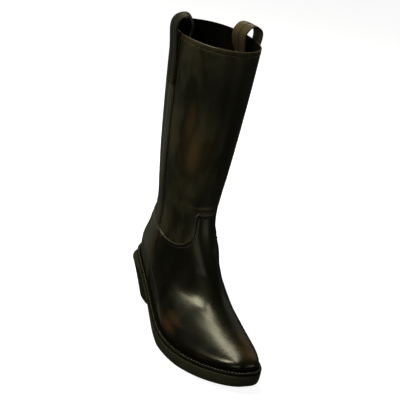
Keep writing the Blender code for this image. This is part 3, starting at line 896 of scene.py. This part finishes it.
def strap_point(side, a, out, up):
    """A place beside the collar: out from the shaft's skin and up along it, in mm."""
    u = COLLAR + np.minimum(up, 0.0) / COLLAR_RISE
    angle = angle_at(u, a, side)
    top = np.full(np.shape(u), float(COLLAR))
    shaft_way = unit(skin_point(top, angle) - skin_point(top - 0.3, angle))
    rise = np.maximum(up, 0.0)[..., None]
    return skin_point(u, angle) + skin_normal(u, angle) * out[..., None] + shaft_way * rise


def strap_line(reach, stretch, count):
    """The middle of the strap: out, up, twist and the unit direction along it."""
    marks = np.arange(len(STRAP_PATH), dtype=float)
    fine = np.linspace(0, len(STRAP_PATH) - 1, count)
    out = smooth_curve(marks, STRAP_PATH[:, 0] + reach * STRAP_PATH[:, 1], fine)
    up = smooth_curve(marks, STRAP_PATH[:, 2], fine)
    up = np.where(up > 0, up * stretch, up)
    twist = smooth_curve(marks, STRAP_PATH[:, 3], fine)
    way = unit(np.stack([np.gradient(out), np.gradient(up)], axis=-1))
    return out, up, twist, way


def make_loop(name, node, side, bow):
    count = 150
    reach, stretch, brown = bow
    out, up, twist, way = strap_line(reach, stretch, count)
    section = strap_section()
    thick = section[:, 1] * STRAP_THICK / 2
    far = out[:, None] + way[:, 1:2] * thick[None, :] + twist[:, None] * section[:, 0]
    high = up[:, None] - way[:, 0:1] * thick[None, :]
    a = np.broadcast_to(STRAP_MIDDLE + section[:, 0], far.shape)
    points = strap_point(side, a, far, high)
    columns = len(section)
    faces = grid_faces(count, columns, True)
    faces.append(tuple(range(columns)))
    faces.append(tuple(range((count - 1) * columns, count * columns))[::-1])
    if side > 0:
        faces = [face[::-1] for face in faces]
    # The outer face is rubbed from the bow on, and both faces less on the way down inside
    along = (np.arange(count) / count)[:, None]
    bent = climb(along, *BOW_FROM)
    faded = 1 - FADE_BY * climb(along, *FADE_FROM)
    outer_face = section[:, 1] > 0.2
    rub_and_shade = brown * section[:, 2] * faded * np.where(outer_face, bent, 1.0)
    piece = make_piece(name, points.reshape(-1, 3), faces, [loop_leather], rub_and_shade)
    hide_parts(node)
    return piece


loop_lateral = make_loop("loop_lateral", "pull_loop_lateral", 1, BOW_LATERAL)
make_loop("loop_medial", "pull_loop_medial", -1, BOW_MEDIAL)
print("each loop:", len(loop_lateral.data.polygons), "faces")

# %% [markdown]
# ## Welt, sole, heel and insole
# The welt is a strip of leather round the foot that the sole is sewn to. The sole has its own thickness, a
# curve under the arch and a little spring at the toe, and the heel leans forward under it. Welt, sole and
# insole share one outline, grown or shrunk by a margin, and the heel has its own. Each is drawn as a stack
# of outlines, which lie close together at the rims, so that the rims are soft.

# %% Plates
PLATE_AROUND = 260
plate_turn = crowded_turn(PLATE_AROUND)


def plate_outline(margin, height):
    """The lowest section's outline grown by a margin, at a height given by a function of a."""
    row = SECTIONS[0].copy()
    row[0] += margin
    row[2] -= margin
    row[5:9] += margin
    points = outline(np.broadcast_to(row, (PLATE_AROUND, len(row))), plate_turn)
    points[:, 2] = height(FOOT_LENGTH / 2 - points[:, 1])
    return points


def make_stack(name, node, loops, material, ring=False, wear=None):
    """Outlines stacked from the top down. A ring joins the last to the first, a plate is closed by faces."""
    columns = len(loops[0])
    order = loops + [loops[0]] if ring else loops
    points = np.concatenate(loops)
    sides = grid_faces(len(order), columns, True)
    faces = [tuple(k % len(points) for k in face[::-1]) for face in sides]
    if not ring:
        faces.append(tuple(range(columns))[::-1])
        faces.append(tuple(range(len(points) - columns, len(points))))
    worn = None if wear is None else np.repeat(np.array(wear), columns)
    piece = make_piece(name, points, faces, [material], None, worn)
    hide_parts(node)
    return piece


GAP = 0.3
WELT_THICK = 3.4
WELT_MARGIN = 7.5
WELT_INSET = 9.0


def over_feather(rise):
    return lambda a: feather_z(a) + rise


def make_welt():
    top = -GAP
    low = -GAP - WELT_THICK
    # margin past the upper, rise over the feather line, wear
    steps = [
        (-WELT_INSET, top, 0.0), (1.6, top, 0.0), (2.2, top - 0.7, 0.0), (2.9, top - 0.7, 0.0),
        (3.4, top, 0.0), (6.0, top, 0.0), (6.8, top - 0.15, 0.1), (7.3, top - 0.6, 0.2),
        (WELT_MARGIN, top - 1.2, 0.1), (WELT_MARGIN, low + 0.8, 0.0), (7.2, low + 0.2, 0.0),
        (6.6, low, 0.0), (-WELT_INSET, low, 0.0),
    ]
    loops = [plate_outline(margin, over_feather(rise)) for margin, rise, _ in steps]
    return make_stack("welt_band", "welt", loops, welt_leather, True, [step[2] for step in steps])


def make_sole():
    top = -2 * GAP - WELT_THICK

    def side(share, lift):
        return lambda a: underside_z(a) + share * (feather_z(a) + top - underside_z(a)) + lift

    # margin past the upper, share of the sole's height, lift
    steps = [
        (-6.0, 1.0, 0.0), (6.3, 1.0, 0.0), (6.9, 1.0, -0.15), (7.3, 1.0, -0.5), (7.5, 1.0, -1.1),
        (7.5, 0.85, 0.0), (7.4, 0.6, 0.0), (7.1, 0.35, 0.0), (6.5, 0.12, 0.4), (6.0, 0.0, 1.0),
        (5.4, 0.0, 0.35), (4.6, 0.0, 0.02), (-0.5, 0.0, 0.0), (-8.0, 0.0, 0.0), (-18.0, 0.0, 0.0),
        (-29.0, 0.0, 0.0),
    ]
    loops = [plate_outline(margin, side(share, lift)) for margin, share, lift in steps]
    return make_stack("sole", "outsole", loops, sole_rubber)


HEEL_TOP_BACK = 1.0
HEEL_TOP_FRONT = 72.0
HEEL_BOTTOM_BACK = 28.0
HEEL_BOTTOM_FRONT = 78.0
HEEL_TOP_HALF = 42.5
HEEL_BOTTOM_HALF = 28.5
# Share of the heel's length where it is widest, and the roundness before and behind that place
HEEL_MIDDLE = 0.55
HEEL_POWERS = (6.0, 2.3)
HEEL_TAPER = 0.9
HEEL_AROUND = 200
# Share of the way down to the seam of the top lift, the layer that is walked on
TOP_LIFT = 0.86
SOLE_GAP = 0.5


def heel_outline(back, front, half, angle):
    """A heel outline: round behind, almost straight across in front."""
    along, across = rounded(angle, np.where(np.cos(angle) > 0, *HEEL_POWERS))
    middle = back + HEEL_MIDDLE * (front - back)
    reach = np.where(along > 0, front - middle, middle - back)
    return -across * half, middle + along * reach


def make_heel():
    turn = np.linspace(0, 2 * math.pi, HEEL_AROUND, endpoint=False)
    # share of the way down, inset
    steps = [(0.0, 0.6), (0.012, 0.15), (0.03, 0.0)]
    steps += [(share, 0.0) for share in np.linspace(0.08, TOP_LIFT - 0.02, 12)]
    steps += [(TOP_LIFT - 0.008, 0.0), (TOP_LIFT, 0.35), (TOP_LIFT + 0.008, 0.0)]
    steps += [(0.92, 0.0), (0.975, 0.1), (0.992, 0.45), (1.0, 1.1)]
    top_a = heel_outline(HEEL_TOP_BACK, HEEL_TOP_FRONT, HEEL_TOP_HALF, turn)[1]
    loops = []
    for share, edge in steps:
        taper = share ** HEEL_TAPER
        back = HEEL_TOP_BACK + taper * (HEEL_BOTTOM_BACK - HEEL_TOP_BACK) + edge
        front = HEEL_TOP_FRONT + taper * (HEEL_BOTTOM_FRONT - HEEL_TOP_FRONT) - edge
        half = HEEL_TOP_HALF + taper * (HEEL_BOTTOM_HALF - HEEL_TOP_HALF) - edge
        x, a = heel_outline(back, front, half, turn)
        loops.append(place(x, a, (underside_z(top_a) - SOLE_GAP) * (1 - share)))
    return make_stack("heel_block", "heel", loops, heel_rubber)


INSOLE_RISE = 2.5


def make_insole():
    inset = -WALL - 1.2
    core = -WELT_INSET - 0.6
    # margin past the upper, rise over the feather line
    steps = [
        (-29.0, INSOLE_RISE - 0.3), (-20.0, INSOLE_RISE - 0.2), (-12.0, INSOLE_RISE),
        (inset - 1.2, INSOLE_RISE), (inset - 0.3, INSOLE_RISE - 0.3), (inset, INSOLE_RISE - 0.9),
        (inset, 0.3), (core, 0.3), (core, -GAP - WELT_THICK),
    ]
    loops = [plate_outline(margin, over_feather(rise)) for margin, rise in steps]
    return make_stack("insole_sock", "insole", loops, insole_leather)


welt = make_welt()
sole = make_sole()
heel = make_heel()
insole = make_insole()
print("welt, sole, heel, insole faces:", [len(piece.data.polygons) for piece in (welt, sole, heel, insole)])

# %% [markdown]
# ## Stitches
# Every hide is held by rows of short stitches. A row is a line of places on the leather. The helper walks
# along it at an even pitch and lays one small spindle of thread at each step, partly sunk in the leather.
# The rows follow the edges at a fixed distance: round the collar, along the vamp's top edge, beside the
# seam, down both edges of the side strips, across the ends of the loops and round the welt.

# %% Stitch helper
STITCH_SIDES = 6
STITCH_ALONG = np.array([-0.50, -0.38, -0.14, 0.14, 0.38, 0.50])
STITCH_WIDTH = np.array([0.20, 0.78, 1.00, 1.00, 0.78, 0.20])
# Distance in mm before and behind a stitch between which the line's direction is read
NEAR_STITCH = 0.4


def walk(points, normals, pitch):
    """Places at an even pitch along a line, with the line's direction and the leather's normal there."""
    steps = np.linalg.norm(np.diff(points, axis=0), axis=1)
    run = np.concatenate([[0.0], np.cumsum(steps)])
    at = np.arange(pitch / 2, run[-1], pitch)

    def read(values, places):
        return np.stack([np.interp(places, run, values[:, k]) for k in range(3)], axis=1)

    way = unit(read(points, at + NEAR_STITCH) - read(points, at - NEAR_STITCH))
    return read(points, at), way, unit(read(normals, at))


def make_stitches(name, lines, pitch, length, thick, material):
    """Rows of stitches, with pitch, length and thickness in mm. Each line is a pair: points and normals."""
    turn = np.linspace(0, 2 * math.pi, STITCH_SIDES, endpoint=False)
    single = grid_faces(len(STITCH_ALONG), STITCH_SIDES, True)
    single.append(tuple(range(STITCH_SIDES))[::-1])
    each = len(STITCH_ALONG) * STITCH_SIDES
    single.append(tuple(range(each - STITCH_SIDES, each)))
    blocks = []
    for points, normals in lines:
        middle, way, normal = walk(points, normals, pitch)
        side = unit(np.cross(way, normal))
        out = np.cross(side, way)
        ring = np.cos(turn)[:, None] * side[:, None, :] + np.sin(turn)[:, None] * out[:, None, :]
        spine = middle[:, None, :] + length * STITCH_ALONG[:, None] * way[:, None, :]
        thread = spine[:, :, None, :] + 0.5 * thick * STITCH_WIDTH[:, None, None] * ring[:, None, :, :]
        blocks.append(thread.reshape(-1, 3))
    vertices = np.concatenate(blocks)
    faces = [tuple(first + k for k in face) for first in range(0, len(vertices), each) for face in single]
    make_piece(name, vertices, faces, [material])
    print(name + ":", len(vertices) // each, "stitches")


THREAD_LIFT = 0.2


def leather_line(u, angle, lift):
    """A line of thread on the leather, which lies at a height in mm over the upper, with its normals."""
    u = np.asarray(u, float)
    angle = np.asarray(angle, float)
    height = np.full(np.broadcast(u, angle).shape, lift + THREAD_LIFT)
    return leather(u, angle, height), skin_normal(u, angle)


print("stitch:", len(STITCH_ALONG), "rings of", STITCH_SIDES, "points")

# %% Stitches in the leather
VAMP_ROWS = (1.9, SEWN_IN)
SEAM_ROW = 2.0
STRIP_ROW = 2.4


def collar_lines():
    angle = np.linspace(0, 2 * math.pi, 400)
    return [leather_line(np.full(angle.shape, COLLAR - COLLAR_ROW / COLLAR_RISE), angle, -0.3)]


def vamp_lines():
    degrees = np.linspace(-93, 93, 900)
    return [leather_line(vamp_inset(degrees, row), np.radians(degrees), rolled(row)) for row in VAMP_ROWS]


def seam_lines():
    u = np.linspace(0.6, COUNTER_TOP - 0.2, 300)
    rows = [side * seam_angle(u, inset) for side in (1, -1) for inset in (SEAM_ROW, -SEAM_ROW)]
    return [leather_line(u, row, OVERLAY_TOP) for row in rows]


def strip_lines():
    u = np.linspace(8.75, 15.86, 500)
    insets = (STRIP_ROW, STRIP_WIDTH - STRIP_ROW)
    rows = [angle_at(u, strip_front(u) - inset, side) for side in (1, -1) for inset in insets]
    return [leather_line(u, row, OVERLAY_TOP) for row in rows]


make_stitches("collar_stitches", collar_lines(), 3.2, 2.5, 0.8, brown_thread)
make_stitches("vamp_stitches", vamp_lines(), 2.9, 2.3, 0.9, dark_thread)
make_stitches("seam_stitches", seam_lines(), 2.8, 2.3, 0.9, brown_thread)
make_stitches("strip_stitches", strip_lines(), 3.0, 2.3, 0.7, dark_thread)

# %% Stitches in the loops and the welt
LOOP_ROWS = (3.0, 7.0)
WELT_ROW = 5.0


def loop_lines():
    """Two short rows across the lower end of each loop's outer leg."""
    across = np.linspace(-0.5 * STRAP_WIDTH + 2.0, 0.5 * STRAP_WIDTH - 2.0, 40)
    lines = []
    for side in (1, -1):
        for row in LOOP_ROWS:
            out = np.full(across.shape, STRAP_PATH[0, 0] + STRAP_THICK / 2)
            up = np.full(across.shape, STRAP_PATH[0, 2] + row)
            points = strap_point(side, STRAP_MIDDLE + across, out, up)
            above = strap_point(side, STRAP_MIDDLE + across, out + 1.0, up)
            lines.append((points, unit(above - points)))
    return lines


def welt_line():
    points = plate_outline(WELT_ROW, over_feather(-GAP))
    normals = np.broadcast_to(np.array([0.0, 0.0, 1.0]), points.shape)
    return [(np.concatenate([points, points[:1]]), np.concatenate([normals, normals[:1]]))]


make_stitches("loop_stitches", loop_lines(), 2.8, 2.2, 0.8, brown_thread)
make_stitches("welt_stitches", welt_line(), 4.4, 3.0, 1.1, welt_thread)

# %% [markdown]
# ## Camera
# The boot is seen from its outer front, from a little above, with the camera rolled so that the shaft leans
# as it does in the picture. The three angles, the distance and the lens come from fitting the solids'
# outline to the picture. A small shift puts the boot in the middle of the frame.

# %% Camera
VIEW_AZIMUTH = -26.2
VIEW_ELEVATION = 20.33
VIEW_ROLL = 10.52
VIEW_DISTANCE = 1.0222
VIEW_TARGET = Vector((0.0, 0.0, 0.180))
FRAME_PIXELS = 400
FOCAL_PIXELS = 812.7
TARGET_PIXEL = (206.7, 207.0)


def direction(azimuth, elevation):
    """The unit vector at an azimuth from the toe's side and an elevation, both in degrees."""
    turn = math.radians(azimuth)
    rise = math.radians(elevation)
    return Vector((math.sin(turn) * math.cos(rise), -math.cos(turn) * math.cos(rise), math.sin(rise)))


def make_camera():
    azimuth = math.radians(VIEW_AZIMUTH)
    roll = math.radians(VIEW_ROLL)
    back = direction(VIEW_AZIMUTH, VIEW_ELEVATION)
    level = Vector((math.cos(azimuth), math.sin(azimuth), 0.0))
    above = back.cross(level)
    right = math.cos(roll) * level + math.sin(roll) * above
    up = math.cos(roll) * above - math.sin(roll) * level
    lens = bpy.data.cameras.new("view")
    lens.sensor_width = 36.0
    lens.lens = FOCAL_PIXELS / FRAME_PIXELS * lens.sensor_width
    lens.shift_x = (FRAME_PIXELS / 2 - TARGET_PIXEL[0]) / FRAME_PIXELS
    lens.shift_y = (TARGET_PIXEL[1] - FRAME_PIXELS / 2) / FRAME_PIXELS
    camera = add_object("view", lens)
    turn = Matrix((right, up, back)).transposed().to_4x4()
    camera.matrix_world = Matrix.Translation(VIEW_TARGET + back * VIEW_DISTANCE) @ turn
    bpy.context.scene.camera = camera
    return camera


camera = make_camera()
bpy.context.scene.view_settings.view_transform = "Standard"
print("lens:", round(camera.data.lens, 2), "mm")

# %% [markdown]
# ## Floor and light
# A pale floor carries the boot, a ring of the same tone stands far behind it, and six soft boxes light it.
# Dark polished leather shows its surroundings more than its own colour, so the boxes are placed by what
# should shine: a long, narrow one overhead draws the highlight that runs over the vamp to the toe, one high
# on the left starts that highlight and lights the outer side, and four weak ones open the dark sides. The
# floor and the ring are kept out of the leather's reflections, as a dark table would be in the studio.

# %% Floor and lights
FLOOR_REACH = 20.0
FLOOR_GLOW = 0.92
WORLD_GLOW = 0.03
RING_RADIUS = 14.0
RING_SIDES = 48


def make_floor():
    mesh = bpy.data.meshes.new("floor")
    far = FLOOR_REACH
    mesh.from_pydata([(-far, -far, 0), (far, -far, 0), (far, far, 0), (-far, far, 0)], [], [(0, 1, 2, 3)])
    floor = add_object("floor", mesh)
    material, tree = new_material("pale_floor")
    feed(tree, tree.nodes["Principled BSDF"], {
        "Base Color": (0.55, 0.55, 0.56), "Roughness": 0.9, "Specular IOR Level": 0.0,
        "Emission Color": grey(1.0), "Emission Strength": FLOOR_GLOW,
    })
    mesh.materials.append(material)
    floor.visible_glossy = False
    floor.visible_diffuse = False
    return floor


def make_backdrop(material):
    """A wide pale ring, so that a low view ends in the floor's tone. It takes no light away."""
    turn = np.linspace(0, 2 * math.pi, RING_SIDES, endpoint=False)
    across = RING_RADIUS * np.sin(turn)
    along = RING_RADIUS * np.cos(turn)
    heights = (np.full(RING_SIDES, -0.05), np.full(RING_SIDES, RING_RADIUS))
    rows = [np.stack([across, along, height], axis=-1) for height in heights]
    mesh = bpy.data.meshes.new("backdrop")
    mesh.from_pydata(np.concatenate(rows).tolist(), [], grid_faces(2, RING_SIDES, True))
    mesh.materials.append(material)
    backdrop = add_object("backdrop", mesh)
    backdrop.visible_glossy = False
    backdrop.visible_diffuse = False
    backdrop.visible_shadow = False


LIGHT_TINT = (1.0, 0.985, 0.84)
LIGHT_AIM = Vector((0.0, -0.02, 0.14))
# name, azimuth and elevation in degrees, distance, width and height in m, power in watts, spin in degrees
SOFT_BOXES = [
    ("key_left", -84.0, 48.0, 2.6, (0.55, 0.95), 27.0, 0.0),
    ("key_over", -165.0, 71.0, 2.2, (2.7, 0.36), 33.0, 42.0),
    ("behind_left", -158.0, 2.0, 1.8, (0.8, 1.6), 1.3, 0.0),
    ("front_right", 38.0, 1.0, 2.2, (1.0, 0.7), 2.6, 0.0),
    ("front", -34.0, 6.0, 2.6, (1.4, 1.0), 4.5, 0.0),
    ("fill_right", 112.0, 26.0, 2.6, (1.8, 1.8), 2.2, 0.0),
]


def soft_box(name, azimuth, elevation, distance, size, power, spin):
    """A rectangular soft box that looks at the boot, spun on its own axis."""
    light = bpy.data.lights.new(name, "AREA")
    light.shape = "RECTANGLE"
    light.size, light.size_y = size
    light.energy = power
    light.color = LIGHT_TINT
    lamp = add_object(name, light)
    way = direction(azimuth, elevation)
    lamp.location = LIGHT_AIM + way * distance
    facing = way.to_track_quat("Z", "Y") @ Quaternion((0.0, 0.0, 1.0), math.radians(spin))
    lamp.rotation_euler = facing.to_euler()


def make_world():
    world = bpy.data.worlds.new("studio")
    bpy.context.scene.world = world
    world.use_nodes = True
    background = world.node_tree.nodes["Background"]
    feed(world.node_tree, background, {"Color": grey(1.0), "Strength": WORLD_GLOW})


make_world()
floor = make_floor()
make_backdrop(floor.data.materials[0])
for box in SOFT_BOXES:
    soft_box(*box)
print("lights:", len(SOFT_BOXES))
